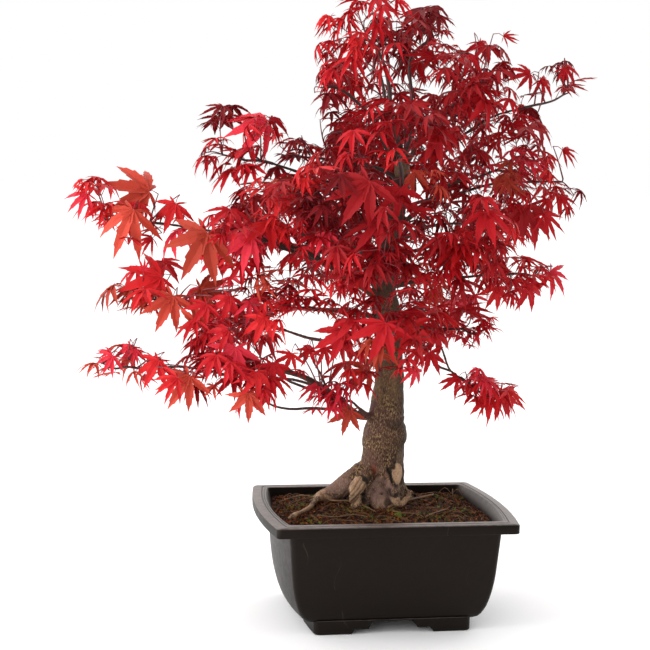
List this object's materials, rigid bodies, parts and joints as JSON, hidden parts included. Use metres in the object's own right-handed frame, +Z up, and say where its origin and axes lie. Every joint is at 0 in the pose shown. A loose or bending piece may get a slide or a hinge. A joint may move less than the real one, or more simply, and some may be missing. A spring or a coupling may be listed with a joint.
{
  "type": "potted miniature red maple tree",
  "caption": "Small potted maple tree trained as a miniature, with a thick tapered trunk, spread roots, open tiers of red leaves and a low rectangular footed pot.",
  "frame": {"origin": "on the level the pot stands on, under the middle of the plant's whole box", "axes": "+X along the pot's long sides to the right seen from the front, +Y to the back, +Z up the tree"},
  "size_m": [0.4684, 0.3116, 0.5405],
  "materials": {
    "pot": "satin dark brown black moulded plastic",
    "soil": "rough moist peat with moss",
    "bark": "rough grey brown bark",
    "foliage": "matte crimson leaves"
  },
  "bodies": {
    "root": {"bough_back_high": "bark", "bough_back_low": "bark", "bough_back_mid": "bark", "bough_front_left": "bark", "bough_front_mid": "bark", "bough_left_back": "bark", "bough_left_back_low": "bark", "bough_left_bottom": "bark", "bough_left_bottom_inner": "bark", "bough_left_bottom_tip": "bark", "bough_left_high": "bark", "bough_left_inner": "bark", "bough_left_low": "bark", "bough_left_mid": "bark", "bough_left_tip": "bark", "bough_right_back": "bark", "bough_right_front": "bark", "bough_right_hanging": "bark", "bough_right_low": "bark", "bough_right_lower": "bark", "bough_right_mid": "bark", "bough_right_tip": "bark", "bough_top_right": "bark", "bough_top_right_back": "bark", "bough_top_right_tip": "bark", "foliage_apex_back": "foliage", "foliage_apex_front": "foliage", "foliage_apex_left": "foliage", "foliage_apex_right": "foliage", "foliage_back_high": "foliage", "foliage_back_low": "foliage", "foliage_back_mid": "foliage", "foliage_front_high": "foliage", "foliage_front_left": "foliage", "foliage_front_low": "foliage", "foliage_front_mid": "foliage", "foliage_left_back": "foliage", "foliage_left_back_low": "foliage", "foliage_left_bottom": "foliage", "foliage_left_bottom_inner": "foliage", "foliage_left_bottom_tip": "foliage", "foliage_left_high": "foliage", "foliage_left_high_inner": "foliage", "foliage_left_inner": "foliage", "foliage_left_low": "foliage", "foliage_left_mid": "foliage", "foliage_left_tip": "foliage", "foliage_right_back": "foliage", "foliage_right_front": "foliage", "foliage_right_hanging": "foliage", "foliage_right_low": "foliage", "foliage_right_lower": "foliage", "foliage_right_mid": "foliage", "foliage_right_tip": "foliage", "foliage_top_right": "foliage", "foliage_top_right_back": "foliage", "foliage_top_right_tip": "foliage", "pot": "pot", "soil": "soil", "trunk": "bark"}
  },
  "joints": []
}
